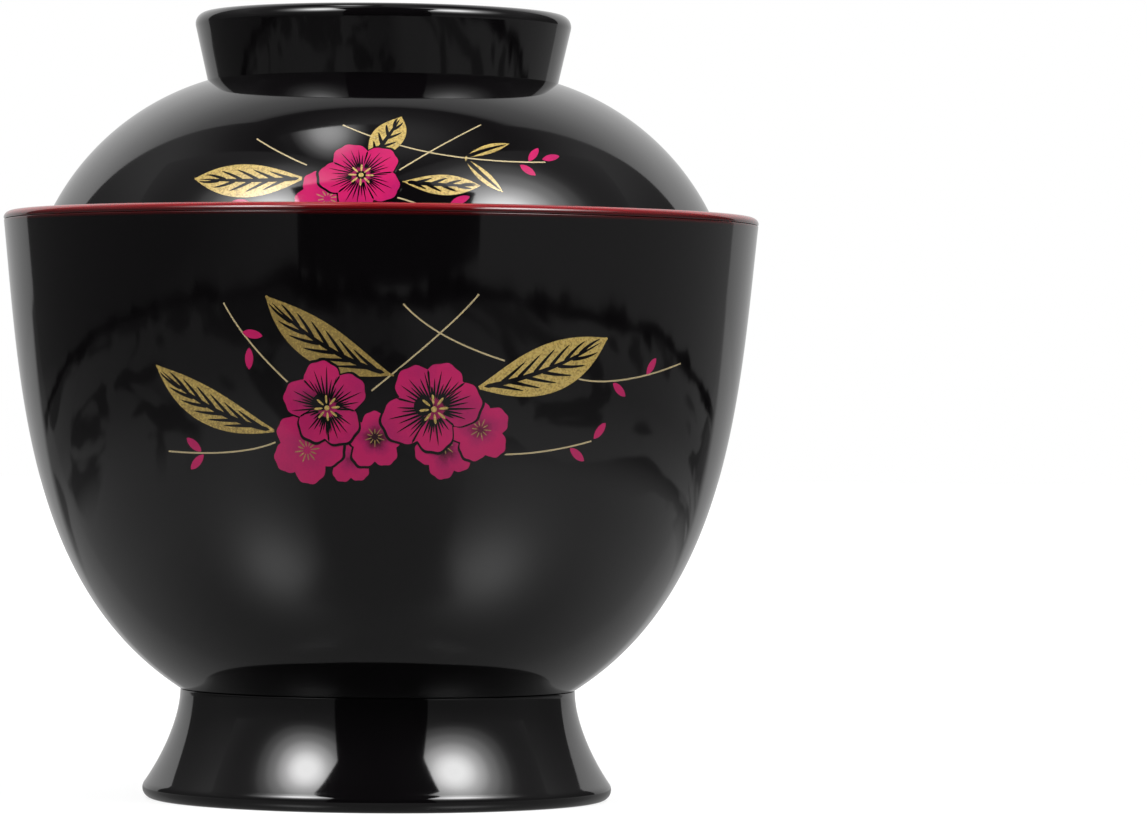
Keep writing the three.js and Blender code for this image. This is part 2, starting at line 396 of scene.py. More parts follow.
class LidForm:
    """Curves of the lid's section as (radius, height) in millimetres: an arc below a flat crown."""

    def __init__(self, sizes):
        self.size = in_mm(sizes)
        self.crown = top_corner("lid_shell").z
        self.flat = self.size.crown_flat
        seat = top_corner("bowl_liner").z - LID_DROP
        reach = top_corner("lid_shell").x - self.flat
        drop = self.crown - seat
        self.radius = (reach**2 + drop**2) / (2 * drop)
        self.centre = np.array((self.flat, self.crown - self.radius))
        self.edge = atan2(seat - self.centre[1], reach)

    def dome(self, depth, start, end):
        """Arc of the dome between two angles, at a depth below its outside."""
        radius = self.radius - depth
        return arc(self.centre, radius, radius, start, end, DOME_STEPS)

    def shell(self):
        """Black dome: its underside from the axis out, its edge, its outside up to the boss, and the boss."""
        depth = self.size.lid_wall - self.size.lid_layer - self.size.bond
        boss = self.size.knob_base - self.size.knob_wall - BOSS_EASE
        under = np.vstack(((0, self.crown - depth), self.dome(depth, pi / 2, self.edge)))
        over = self.dome(0, self.edge, np.arccos((boss - self.flat) / self.radius))
        rise = (over[-1][0], self.crown)
        runs = (under, (under[-1], over[0]), over, (over[-1], rise), (rise, (0, self.crown)))
        return eased(runs, self.size.ease)

    def liner(self):
        """Red layer: its face from the axis out, a half round about the lid's edge, and its back."""
        wall = self.size.lid_wall
        half = wall / 2
        middle = self.radius - half
        edge = self.edge - self.size.bond / self.radius
        turn = np.linspace(pi, 0, 2 * ROUND_STEPS)
        along = edge - half * np.sin(turn) / middle
        out = middle + half * np.cos(turn)
        cap = self.centre + np.column_stack((out * np.cos(along), out * np.sin(along)))
        under = np.vstack(((0, self.crown - wall), self.dome(wall, pi / 2, edge), cap[1:]))
        back = self.dome(wall - self.size.lid_layer, edge, pi / 2)
        axis = (0, self.crown - wall + self.size.lid_layer)
        return eased((under, (under[-1], back[0]), np.vstack((back, axis))), self.size.ease)

    def knob_section(self):
        """Ring knob: its seat on the dome, the flared side, the two lips and the inner side."""
        base, knob, wall = self.size.knob_base, self.size.knob_top, self.size.knob_wall
        outer_lip, inner_lip = self.size.knob_outer_lip, self.size.knob_inner_lip
        top = top_corner("lid_knob_ring").z
        ring = np.linspace(base - wall, base, ROUND_STEPS)
        rise = np.sqrt((self.radius - KNOB_SINK) ** 2 - (ring - self.flat) ** 2)
        seat = np.column_stack((ring, self.centre[1] + rise))
        lean = atan2(knob - base, top - outer_lip - seat[-1][1])
        outer = arc((knob - outer_lip, top - outer_lip), outer_lip, outer_lip, -lean, pi / 2)
        inner = arc((knob - wall + inner_lip, top - inner_lip), inner_lip, inner_lip, pi / 2, pi - lean)
        side = np.vstack((seat[-1], outer, inner, seat[0]))
        return eased((seat, side), KNOB_SINK / 2, closed=True)


# Meshes


def turned(profile, sides):
    """Profile turned about Z: x = r cos a, y = r sin a, z = h. Ends on the axis close in one vertex each."""
    capped = profile[0][0] < 1e-6
    rings = profile[1:-1] if capped else profile
    angle = np.arange(sides) * 2 * pi / sides
    turns = np.stack((np.cos(angle), np.sin(angle), np.ones(sides)), axis=1)
    points = (rings[:, None, [0, 0, 1]] * turns[None]).reshape(-1, 3)
    index = np.arange(len(points)).reshape(len(rings), sides)
    beside = np.roll(index, -1, axis=1)
    if not capped:
        index = np.vstack((index, index[:1]))
        beside = np.vstack((beside, beside[:1]))
    faces = np.stack((index[:-1], beside[:-1], beside[1:], index[1:]), axis=-1).reshape(-1, 4).tolist()
    if capped:
        low = len(points)
        poles = ((0, 0, profile[0][1]), (0, 0, profile[-1][1]))
        points = np.vstack((points, poles))
        faces += np.stack((np.full(sides, low), beside[0], index[0]), axis=-1).tolist()
        faces += np.stack((index[-1], beside[-1], np.full(sides, low + 1)), axis=-1).tolist()
    return points, faces


def add_piece(name, points, faces, material, body, node=None):
    """Mesh object from points in millimetres, smooth but for its sharp edges, that rides on a body."""
    mesh = bpy.data.meshes.new(name)
    mesh.from_pydata((np.asarray(points) * MM).tolist(), [], faces)
    mesh.shade_smooth()
    mesh.set_sharp_from_angle(angle=radians(SHARP_ANGLE))
    mesh.materials.append(material)
    piece = bpy.data.objects.new(name, mesh)
    bpy.context.scene.collection.objects.link(piece)
    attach(piece, body)
    if node:
        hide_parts(node)
    return piece


class Film:
    """Thin closed films of one ink, gathered into one mesh with a tone for every point."""

    def __init__(self):
        self.points = []
        self.faces = []
        self.tones = []
        self.count = 0

    def add(self, top, bottom, tone):
        """A film between two grids that share an outline: two faces of quads and a rim round them."""
        rows, columns = top.shape[:2]
        size = rows * columns
        index = self.count + np.arange(size).reshape(rows, columns)
        corners = (index[:-1, :-1], index[1:, :-1], index[1:, 1:], index[:-1, 1:])
        over = np.stack(corners, axis=-1).reshape(-1, 4)
        rim = np.concatenate((index[:-1, 0], index[-1, :-1], index[:0:-1, -1], index[0, :0:-1]))
        after = np.roll(rim, -1)
        sides = np.stack((rim, rim + size, after + size, after), axis=-1)
        self.faces += np.vstack((over, over[:, ::-1] + size, sides)).tolist()
        self.points += [top.reshape(-1, 3), bottom.reshape(-1, 3)]
        self.tones += [np.broadcast_to(tone, (rows, columns)).reshape(-1)] * 2
        self.count += 2 * size

    def piece(self, name, material, body, slot):
        """The films as one piece, with their tones as an attribute."""
        piece = add_piece(name, np.vstack(self.points), self.faces, material, body)
        tones = piece.data.attributes.new("tone", "FLOAT", "POINT")
        tones.data.foreach_set("value", np.concatenate(self.tones).astype(np.float32))


# Printed spray

# Width laws of strokes: a stroke is as wide at s as s^swell (1-s)^taper, given as swell and taper
EVEN_LAW = (0, 0)
LEAF_LAW = (1.15, 1.0)
BUD_LAW = (0.75, 0.75)
MIDRIB_LAW = (0.12, 0.5)
VEIN_LAW = (0.04, 0.5)
STREAK_LAW = (0.05, 0.6)
NOTCH_LAW = (0.02, 0.4)
FRONT_STAMEN_LAW = (0.4, 0.25)
REAR_STAMEN_LAW = (0.3, 0.3)

# Least width of a stroke, as a share of its greatest
LEAST_WIDTH = 0.04

# A leaf's midrib and side veins, as shares of its length and of its half width
MIDRIB_SPAN = (0.06, 0.48, 0.94)
VEIN_ROOT = 0.14
VEIN_SPREAD = 0.58
VEIN_STAGGER = 0.03
VEIN_ALONG = (0.0, 0.1, 0.2)
VEIN_OUT = (0.0, 0.3955, 0.6781)
SIDE_VEIN_WIDTH = 0.8

# Streaks of a front blossom: how many on a petal, degrees between them, and ends as shares of its reach
STREAKS = 8
STREAK_STEP = 8.3
STREAK_WAVER = 2.0
STREAK_START = 0.2
STREAK_ENDS = (0.58, 0.78, 0.66, 0.88, 0.72, 0.84, 0.62, 0.8, 0.56, 0.86, 0.7)

# Lines between the petals of a front blossom: where they end, and their half width
NOTCH_END = 0.45
NOTCH_HALF = 0.022

# Stamens and eyes of blossoms, as shares of a blossom's radius
FRONT_STAMENS = 8
STAMEN_START = 0.1
FRONT_STAMEN_END = 0.31
REAR_STAMEN_ENDS = (0.28, 0.36)
REAR_STAMEN_HALF = 0.017
EYE = 0.06

# Tones of the ink where it isn't plain: above 1 is paler, below 1 is darker
STEM_TONE = 2.2
REAR_STAMEN_TONE = 0.7
REAR_PETAL_TONE = 0.98

# A petal is a circle of this radius about a point this far out, as shares of its reach
PETAL_ROUND = 0.44
PETAL_OUT = 0.56

# Ruffles of the petals' outline: height as a share of their reach, and waves round the blossom
SLOW_RUFFLE = (0.02, 3)
FINE_RUFFLE = (0.017, 17)

# Cells across the grid of a rear and of a front blossom
REAR_CELLS = 44
FRONT_CELLS = 48


def swelling(s, law):
    """Width law s^swell (1-s)^taper over its peak."""
    swell, taper = law
    at = swell / (swell + taper) if swell + taper else 0.5
    peak = at**swell * (1 - at) ** taper
    return s**swell * (1 - s) ** taper / peak


def even_tips(turn, reach):
    """Tips of five like petals: the direction of each in degrees, and its reach."""
    return tuple((turn + 72 * at, reach) for at in range(5))


def petals(angle, tips, beyond=0.0):
    """Outline of ruffled round petals: the most of d cos t + sqrt(a^2 - d^2 sin^2 t) over the tips."""
    reach = 0.0
    for tip, size in tips:
        turn = angle - radians(tip)
        inside = PETAL_ROUND**2 - (PETAL_OUT * np.sin(turn)) ** 2
        lobe = PETAL_OUT * np.cos(turn) + np.sqrt(np.maximum(inside, 0))
        reach = np.maximum(reach, (size + beyond) * lobe)
    slow = SLOW_RUFFLE[0] * np.sin(SLOW_RUFFLE[1] * angle + tips[0][0])
    fine = FINE_RUFFLE[0] * np.sin(FINE_RUFFLE[1] * angle)
    return reach * (1 + slow + fine)


def front_shade(out):
    """Tone of a front petal, which pales from its base out."""
    return np.clip(0.2 + 0.95 * out, 0, 0.85)


def bowl_skin(form):
    """Outside of the bowl by the arc across from its front line, the height, and the lift off it."""
    points, along = bezier(form.controls, np.linspace(0, 1, SKIN_STEPS))
    normals = outward(along)

    def skin(across, height, lift):
        radius = np.interp(height, points[:, 1], points[:, 0])
        out = radius + lift * np.interp(height, points[:, 1], normals[:, 0])
        up = height + lift * np.interp(height, points[:, 1], normals[:, 1])
        angle = across / radius
        return np.stack((out * np.sin(angle), -out * np.cos(angle), up), axis=-1)

    return skin


def lid_skin(form):
    """Outside of the lid by the arc across from its front line, the arc up from its edge, and the lift."""

    def skin(across, up, lift):
        slope = form.edge + up / form.radius
        radius = form.flat + form.radius * np.cos(slope)
        out = radius + lift * np.cos(slope)
        height = form.centre[1] + (form.radius + lift) * np.sin(slope)
        angle = across / radius
        return np.stack((out * np.sin(angle), -out * np.cos(angle), height), axis=-1)

    return skin


class Spray:
    """Draws leaves, stems, buds and blossoms on a skin, as films of gold, pink and black."""

    def __init__(self, skin, sizes):
        size = in_mm(sizes)
        self.skin = skin
        self.film = size.film
        self.stem_half = size.stem / 2
        self.vein_half = size.vein / 2
        self.bud_half = (size.bud_length / 2, size.bud_width / 2)
        self.outline = size.outline
        self.gold = Film()
        self.pink = Film()
        self.black = Film()

    def lay(self, ink, across, up, level, tone=1.0):
        """One film of an ink over a grid of places, from just under the lacquer to its level."""
        top = self.skin(across, up, level * self.film)
        bottom = self.skin(across, up, -self.film)
        ink.add(top, bottom, tone)

    def blade(self, ink, controls, half, law, level, steps=24, lanes=2, tone=1.0):
        """Film along a Bezier centre line, whose half width is half times a width law."""
        s = np.linspace(0, 1, steps)
        points, along = bezier(controls, s)
        width = half * np.maximum(swelling(s, law), LEAST_WIDTH)
        side = np.linspace(-1, 1, lanes)[None, :] * width[:, None]
        across = points[:, :1] - along[:, 1:] * side
        up = points[:, 1:] + along[:, :1] * side
        self.lay(ink, across, up, level, tone)

    def stem(self, start, middle, end):
        """Stem of even width through three points."""
        controls = through(start, middle, end)
        self.blade(self.gold, controls, self.stem_half, EVEN_LAW, 1, steps=36, tone=STEM_TONE)

    def leaf(self, base, tip, half, bow, veins, tone):
        """Leaf from base to tip, bowed left by a distance, with a dark midrib and curved side veins. A tone
        below 1 paints shade on it, one above 1 painted light.
        """
        base, tip = np.asarray(base, float), np.asarray(tip, float)
        along = (tip - base) / np.linalg.norm(tip - base)
        left = np.array((-along[1], along[0]))
        controls = (base, (base + tip) / 2 + 2 * bow * left, tip)
        self.blade(self.gold, controls, half, LEAF_LAW, 1, steps=48, lanes=11, tone=tone)
        midrib = through(*bezier(controls, MIDRIB_SPAN)[0])
        self.blade(self.black, midrib, self.vein_half, MIDRIB_LAW, 2, steps=32)
        for at in range(veins):
            root = VEIN_ROOT + VEIN_SPREAD * at / max(veins - 1, 1)
            for side in (-1, 1):
                self.side_vein(controls, half, root + VEIN_STAGGER * side, side)

    def side_vein(self, controls, half, root, side):
        """Vein that leaves the midrib towards the tip and curves out to most of the leaf's half width."""
        reach = root + np.array(VEIN_ALONG)
        points, along = bezier(controls, reach)
        left = np.column_stack((-along[:, 1], along[:, 0]))
        out = side * half * np.array(VEIN_OUT) * swelling(reach, LEAF_LAW)
        places = points + left * out[:, None]
        self.blade(self.black, places, SIDE_VEIN_WIDTH * self.vein_half, VEIN_LAW, 2, steps=14)

    def bud(self, centre, lean):
        """Almond-shaped bud about a centre, leaning by an angle in degrees."""
        along = heading(lean) * self.bud_half[0]
        centre = np.asarray(centre, float)
        controls = (centre - along, centre, centre + along)
        self.blade(self.pink, controls, self.bud_half[1], BUD_LAW, 1, steps=18, lanes=4)

    def disc(self, ink, centre, radius, level, tips=None, cells=16, tone=1.0):
        """Disc from a square grid: x = s sqrt(1 - t^2/2), y = t sqrt(1 - s^2/2).

        Tips give it petals, and the radius is then a margin round them.
        """
        s, t = np.meshgrid(np.linspace(-1, 1, cells + 1), np.linspace(-1, 1, cells + 1), indexing="ij")
        x = s * np.sqrt(1 - t**2 / 2)
        y = t * np.sqrt(1 - s**2 / 2)
        reach = petals(np.arctan2(y, x), tips, radius) if tips else radius
        if callable(tone):
            tone = tone(np.hypot(x, y))
        self.lay(ink, centre[0] + reach * x, centre[1] + reach * y, level, tone)

    def ray(self, ink, centre, angle, start, end, half, law, level, tone=1.0):
        """Straight stroke out from a centre, between two radii."""
        out = np.array((cos(angle), sin(angle)))
        places = [np.asarray(centre, float) + out * radius for radius in (start, (start + end) / 2, end)]
        self.blade(ink, places, half, law, level, steps=8, tone=tone)

    def rear_blossom(self, centre, radius, turn, level, heart, stamens, rise):
        """Plain blossom behind the others: dark outline, petals that darken to a heart, and fine stamens."""

        def shade(out):
            """Tone of a petal, which darkens towards the heart."""
            return REAR_PETAL_TONE - heart * np.clip(1.1 - 1.5 * out, 0, 1)

        tips = even_tips(turn, radius)
        self.disc(self.black, centre, self.outline, level, tips, REAR_CELLS)
        self.disc(self.pink, centre, 0.0, level + 1, tips, REAR_CELLS, shade)
        eye = np.add(centre, (0.0, rise))
        start, half = STAMEN_START * radius, REAR_STAMEN_HALF * radius
        for at in range(stamens):
            angle = radians(turn) + at * 2 * pi / stamens
            end = REAR_STAMEN_ENDS[at % 2] * radius
            self.ray(self.gold, eye, angle, start, end, half, REAR_STAMEN_LAW, level + 2, REAR_STAMEN_TONE)

    def front_blossom(self, eye, shift, tips, level, heart, streak, stamen):
        """Full blossom about a point beside its eye: outline, petals, heart, streaks, stamens and the eye."""
        middle = np.add(eye, shift)
        radius = sum(reach for _, reach in tips) / len(tips)
        self.disc(self.black, middle, self.outline, level, tips, FRONT_CELLS)
        self.disc(self.pink, middle, 0.0, level + 1, tips, FRONT_CELLS, front_shade)
        self.disc(self.black, np.add(eye, np.multiply(radius, heart[:2])), heart[2] * radius, level + 2)
        for petal, (tip, _) in enumerate(tips):
            for at in range(STREAKS):
                waver = STREAK_WAVER * sin(5.3 * at + 2.1 * petal)
                angle = radians(tip + STREAK_STEP * (at - (STREAKS - 1) / 2) + waver)
                room = petals(angle, tips) + shift[0] * cos(angle) + shift[1] * sin(angle)
                end = room * STREAK_ENDS[(at + 4 * petal) % len(STREAK_ENDS)]
                start, half = STREAK_START * radius, streak * radius
                self.ray(self.black, eye, angle, start, end, half, STREAK_LAW, level + 3)
            after = tips[(petal + 1) % len(tips)][0]
            notch = radians(tip + ((after - tip) % 360) / 2)
            gap = petals(notch, tips)
            half = NOTCH_HALF * radius
            self.ray(self.black, middle, notch, gap, NOTCH_END * gap, half, NOTCH_LAW, level + 3)
        start, end, half = STAMEN_START * radius, FRONT_STAMEN_END * radius, stamen * radius
        for at in range(FRONT_STAMENS):
            angle = radians(tips[0][0]) + at * 2 * pi / FRONT_STAMENS
            self.ray(self.gold, eye, angle, start, end, half, FRONT_STAMEN_LAW, level + 4)
        self.disc(self.gold, eye, EYE * radius, level + 4, cells=8)

    def draw(self, leaves, stems, buds, rear, front):
        """All of one spray, from the stems up to the front blossoms."""
        for stroke, entries in (
            (self.stem, stems),
            (self.leaf, leaves),
            (self.bud, buds),
            (self.rear_blossom, rear),
            (self.front_blossom, front),
        ):
            for entry in entries:
                stroke(*entry)


# The bowl's spray, with places in millimetres: across from the front line, and height
# A leaf has base, tip, half width, bow, veins and tone, a stem three points, and a bud centre and lean
# A rear blossom has centre, radius, turn, level, heart, stamens and rise
# A front blossom has eye, shift, tips, level, heart, and half widths of a streak and a stamen
BOWL_SPRAY = {
    "leaves": (
        # Painted light and shade: the leaves' tones darken the two on the left and lighten the one on the
        # right, as more light falls from the right
        ((3.7, 64.2), (-15.0, 75.5), 2.95, 1.6, 6, 0.72),
        ((-13.0, 56.0), (-33.0, 65.5), 2.55, 1.5, 6, 0.9),
        ((15.5, 62.5), (37.0, 70.0), 3.5, -1.0, 6, 1.05),
    ),
    "stems": (
        ((-21.5, 74.5), (-17.5, 69.0), (-11.5, 63.0)),
        ((5.0, 74.5), (11.0, 70.0), (20.0, 66.5)),
        ((16.0, 76.0), (10.5, 70.5), (0.5, 62.0)),
        ((32.0, 64.0), (40.5, 64.0), (53.0, 66.5)),
        ((19.5, 53.0), (26.5, 53.5), (34.5, 55.0)),
        ((-13.5, 54.5), (-20.5, 53.0), (-31.0, 53.0)),
    ),
    "buds": (
        ((-17.0, 70.0), -10),
        ((-17.5, 66.5), 90),
        ((46.0, 66.0), 50),
        ((39.5, 62.5), -38),
        ((36.0, 56.5), 47),
        ((32.0, 53.0), -36),
        ((-26.5, 54.0), -38),
        ((-26.0, 51.5), 44),
    ),
    "rear": (
        ((-2.5, 52.0), 3.4, -124, 2, 0.7, 0, 0.0),
        ((-8.8, 53.8), 5.25, -81, 4, 0.25, 12, -0.4),
        ((1.0, 54.9), 4.15, 90, 4, 0.85, 10, 0.5),
        ((11.1, 53.6), 4.3, 187, 4, 1.0, 8, 0.6),
        ((16.35, 56.4), 4.6, 30, 6, 0.7, 10, 0.2),
    ),
    "front": (
        (
            (-5.9, 59.5), (-0.4, 0.9),
            ((95, 5.9), (173, 6.0), (250, 5.8), (304, 6.7), (23, 6.1)),
            9, (-0.14, 0.14, 0.2), 0.024, 0.026,
        ),
        (
            (9.5, 59.45), (-0.3, 0.3),
            ((6, 7.3), (67, 6.7), (126, 6.7), (207, 7.7), (275, 6.3)),
            9, (-0.22, 0.06, 0.2), 0.024, 0.026,
        ),
    ),
}

# The lid's spray, with places in millimetres: across from the front line, and up the dome from its edge
LID_SPRAY = {
    "leaves": (
        ((-9.5, 13.5), (-27.5, 13.5), 2.9, 0.4, 5, 1.0),
        ((-0.5, 16.5), (4.0, 26.0), 2.4, -0.3, 4, 1.0),
        ((4.5, 13.0), (16.0, 12.5), 1.75, -0.2, 4, 1.0),
        ((13.5, 17.5), (20.5, 20.5), 0.9, 0.2, 0, 1.0),
        ((13.5, 17.5), (19.5, 11.5), 0.9, -0.2, 0, 1.0),
    ),
    "stems": (
        ((-17.5, 21.0), (-13.8, 18.3), (-9.5, 15.8)),
        ((-4.5, 24.0), (4.0, 19.7), (13.5, 17.5)),
        ((13.5, 17.5), (20.0, 17.0), (26.5, 17.1)),
        ((16.0, 24.5), (10.0, 19.8), (4.0, 15.0)),
        ((3.0, 10.5), (5.0, 9.9), (7.5, 9.0)),
    ),
    "buds": (
        ((24.5, 18.5), 58),
        ((27.5, 18.0), 14),
        ((23.5, 15.5), -36),
        ((13.0, 10.0), 24),
        ((-19.5, 9.3), 0),
    ),
    "rear": (((-6.3, 10.0), 5.0, 120, 4, 0.5, 10, 0.0),),
    "front": (((-1.5, 14.0), (0.0, 0.0), even_tips(43, 6.1), 9, (0.0, 0.0, 0.12), 0.019, 0.023),),
}


# Materials

# Setting of a range node that eases in and out. Such a node takes a value and its two ends, then the two
# ends that come out, which are 0 and 1 where they aren't given
SMOOTH = {"interpolation_type": "SMOOTHSTEP"}

# Share of the red where it lies deepest, and shares of the magenta's three parts where it is dull
DEEP_RED = 0.78
DULL_PINK = (0.7, 0.85, 0.9)


def add_node(tree, kind, inputs=(), **settings):
    """Adds a shader node. Inputs go by name or in order. A socket, or a node's first output, is linked."""
    made = tree.nodes.new("ShaderNode" + kind)
    for name, value in settings.items():
        setattr(made, name, value)
    for name, value in inputs.items() if isinstance(inputs, dict) else enumerate(inputs):
        if isinstance(value, bpy.types.Node):
            value = value.outputs[0]
        if isinstance(value, bpy.types.NodeSocket):
            tree.links.new(value, made.inputs[name])
        else:
            made.inputs[name].default_value = value
    return made


def new_material(name, coordinates="Object"):
    """An empty material, with the function that adds its nodes and with its coordinates."""
    material = bpy.data.materials.new(name)
    material.use_nodes = True
    material.node_tree.nodes.clear()
    node = partial(add_node, material.node_tree)
    return material, node, node("TexCoord").outputs[coordinates]


def set_stops(ramp_node, stops, interpolation="LINEAR"):
    """Gives a ramp node its stops, each a place and a linear colour, from the lowest place up."""
    ramp = ramp_node.color_ramp
    ramp.interpolation = interpolation
    for element, stop in zip(ramp.elements, (stops[0], stops[-1])):
        element.position = stop[0]
        element.color = (*stop[1], 1.0)
    for place, tone in stops[1:-1]:
        ramp.elements.new(place).color = (*tone, 1.0)


def per_mm(size):
    """Texture scale in Object coordinates, in metres, for a feature of a size in millimetres."""
    return 1 / (size * MM)


def rim_fade(node, place, depths, low):
    """Share that rises from low to 1 between two depths below the rim's top, and 1 where off its outside."""
    shallow, deep = ((rim_top() - depth) * MM for depth in depths)
    height = node("SeparateXYZ", (place,)).outputs["Z"]
    fade = node("MapRange", (height, deep, shallow, low), **SMOOTH)
    flat = node("VectorMath", (place, (1.0, 1.0, 0.0)), operation="MULTIPLY")
    radius = node("VectorMath", (flat,), operation="LENGTH").outputs["Value"]
    inner = node("Math", (radius, RIM_OUTSIDE_RADIUS * MM), operation="LESS_THAN")
    return fade, inner


def black_lacquer(finishes):
    """Black urethane lacquer on ABS: a mirror with faint orange peel, slow waves and red dust by the rim."""
    material, node, place = new_material("Black urethane lacquer")
    fade, inner = rim_fade(node, place, RED_DUST, 0.0)
    dust = node("Math", (fade, inner), operation="SUBTRACT", use_clamp=True)
    tint = node("ValToRGB", (dust,))
    set_stops(tint, ((0.0, finishes.black), (1.0, finishes.red * DIMMED_RED)))
    peel = node("TexNoise", {"Vector": place, "Scale": per_mm(2.8), "Detail": 1.0})
    wave = node("TexNoise", {"Vector": place, "Scale": per_mm(22.0), "Detail": 0.5})
    slow = node("Bump", {"Height": wave, "Strength": 1.0, "Distance": 0.08 * MM})
    fine = node("Bump", {"Height": peel, "Strength": 1.0, "Distance": 0.0015 * MM, "Normal": slow})
    haze = node("TexNoise", {"Vector": place, "Scale": per_mm(9.0), "Detail": 3.0})
    gloss = node("MapRange", (haze, 0.3, 0.7, 0.045, 0.075))
    shader = node("BsdfPrincipled", {"Base Color": tint, "Roughness": gloss, "IOR": 1.5, "Normal": fine})
    node("OutputMaterial", (shader,))
    return material


def red_lacquer(finishes):
    """Red urethane lacquer on ABS: mirror-like, uneven in tone, with painted shade that darkens the rim's
    outside downwards.
    """
    material, node, place = new_material("Red urethane lacquer")
    cloud = node("TexNoise", {"Vector": place, "Scale": per_mm(14.0), "Detail": 3.0})
    peel = node("TexNoise", {"Vector": place, "Scale": per_mm(2.4), "Detail": 1.0})
    ramp = node("ValToRGB", (cloud,))
    set_stops(ramp, ((0.3, finishes.red * DEEP_RED), (0.6, finishes.red)))
    # Painted shade: the red on the rim's outside darkens downwards, where less light falls on its steeper
    # face
    fade, inner = rim_fade(node, place, PAINTED_RIM_SHADE, DIMMED_RED)
    painted_rim_shade = node("Math", (inner, fade), operation="MAXIMUM")
    seen = node("VectorMath", {0: ramp, "Scale": painted_rim_shade}, operation="SCALE")
    bump = node("Bump", {"Height": peel, "Strength": 1.0, "Distance": 0.0006 * MM})
    shader = node("BsdfPrincipled", {"Base Color": seen, "Roughness": 0.06, "IOR": 1.5, "Normal": bump})
    node("OutputMaterial", (shader,))
    return material


def gold_ink(finishes):
    """Gold transfer ink, bronze powder in varnish: a satin gold whose flakes show as a fine speckle."""
    material, node, place = new_material("Gold transfer ink")
    tone = node("Attribute", attribute_name="tone").outputs["Fac"]
    # The real flakes are under 0.05 mm, so they are drawn at 0.33 mm to show
    flakes = node("TexNoise", {"Vector": place, "Scale": per_mm(0.33), "Detail": 2.0, "Roughness": 0.7})
    lit = node("Math", (flakes, tone), operation="MULTIPLY")
    ramp = node("ValToRGB", (lit,))
    set_stops(ramp, ((0.35, finishes.gold_dark), (0.57, finishes.gold), (0.9, finishes.gold_pale)))
    look = {"Base Color": ramp, "Roughness": 0.38, "Metallic": 0.15}
    shader = node("BsdfPrincipled", {**look, "Coat Weight": 1.0, "Coat Roughness": 0.06})
    node("OutputMaterial", (shader,))
    return material


def pink_ink(finishes):
    """Magenta transfer ink under clear lacquer: glossy, plum in a blossom's middle, with a fine grain."""
    material, node, place = new_material("Magenta transfer ink")
    tone = node("Attribute", attribute_name="tone").outputs["Fac"]
    # The real grain of the print is finer, and is drawn at 0.35 mm to show
    grain = node("TexNoise", {"Vector": place, "Scale": per_mm(0.35), "Detail": 2.0, "Roughness": 0.7})
    shift = node("MapRange", (grain, 0.0, 1.0, -0.2, 0.2))
    wash = node("TexNoise", {"Vector": place, "Scale": per_mm(6.0), "Detail": 1.0})
    slow = node("MapRange", (wash, 0.3, 0.7, -0.22, 0.2))
    grained = node("Math", (tone, shift), operation="ADD")
    lit = node("Math", (grained, slow), operation="ADD")
    ramp = node("ValToRGB", (lit,))
    dull = np.multiply(DULL_PINK, finishes.pink)
    set_stops(ramp, ((0.12, finishes.plum), (0.58, dull), (0.95, finishes.pink)))
    shader = node("BsdfPrincipled", {"Base Color": ramp, "Roughness": 0.07, "IOR": 1.5})
    node("OutputMaterial", (shader,))
    return material


# Each record slot with the name of its material and the function that makes it
FINISH_OF_SLOT = {
    "black_lacquer": ("Black urethane lacquer", black_lacquer),
    "red_lacquer": ("Red urethane lacquer", red_lacquer),
    "gold_print": ("Gold transfer ink", gold_ink),
    "pink_print": ("Magenta transfer ink", pink_ink),
}


def finish(slot, context):
    """The material of a record slot, made the first time that it is asked for."""
    name, make = FINISH_OF_SLOT[slot]
    return bpy.data.materials.get(name) or make(context.scene.soup_bowl.finishes)


# Stage

# Light on a softbox and the lamp out from where it is brightest, and up the screen and the room
SOFTBOX_STOPS = (
    (0.0, 1.0), (0.07, 0.95), (0.145, 0.58), (0.23, 0.26),
    (0.32, 0.11), (0.414, 0.04), (0.5, 0.0148),
)
SCREEN_STOPS = (
    (0.0, 0.55), (0.2, 0.92), (0.32, 0.97), (0.45, 0.85),
    (0.58, 0.68), (0.76, 0.56), (0.9, 0.46), (1.0, 0.25),
)
LAMP_STOPS = ((0.0, 1.0), (0.3, 0.8), (0.5, 0.45), (0.7, 0.2), (0.9, 0.06), (1.0, 0.027))
FLAG_STOPS = ((0.0, 1.0), (1.0, 1.0))
ROOM_STOPS = (
    (0.0, 0.22), (0.26, 0.26), (0.5, 0.42), (0.7, 0.6), (0.82, 0.3),
    (0.9, 0.12), (0.94, 0.15), (0.97, 0.28), (1.0, 0.55),
)

# Softboxes: side, direction from the front in degrees, and narrowness of the light across it
SOFTBOXES = (("left", -44, 1.9), ("right", 52, 1.6))
SOFTBOX_ELEVATION = 45.5

# Distance of a softbox from the point that it faces, its width and height, and that point, in metres
SOFTBOX_DISTANCE = 1.2
SOFTBOX_WIDE = 2.4
SOFTBOX_TALL = 1.2
AIM = (0.0, 0.0, 0.03)

# Corners of the other panels, in metres
TABLE = ((-4, -4, 0), (4, -4, 0), (4, 4, 0), (-4, 4, 0))
WHITE_SCREEN = ((-1.08, 1, 0), (1.0, 1, 0), (1.0, 1, 2.7), (-1.08, 1, 2.7))
OVERHEAD_LAMP = ((-0.53, -0.46, 1.5), (-0.01, -0.46, 1.5), (-0.01, 0.17, 1.5), (-0.53, 0.17, 1.5))
LOW_FLAG = ((-0.19, -0.47, 0), (0.27, -0.47, 0), (0.28, -0.47, 0.5), (-0.2, -0.47, 0.5))
HIGH_FLAG = ((-0.2, -0.47, 0.5), (0.28, -0.47, 0.5), (0.5, -0.47, 1.05), (-0.45, -0.47, 1.05))

# Radiance of a black flag
FLAG_LIGHT = 0.02

# Width of a fold in the table cloth, in millimetres
FOLD_SIZE = 222.22


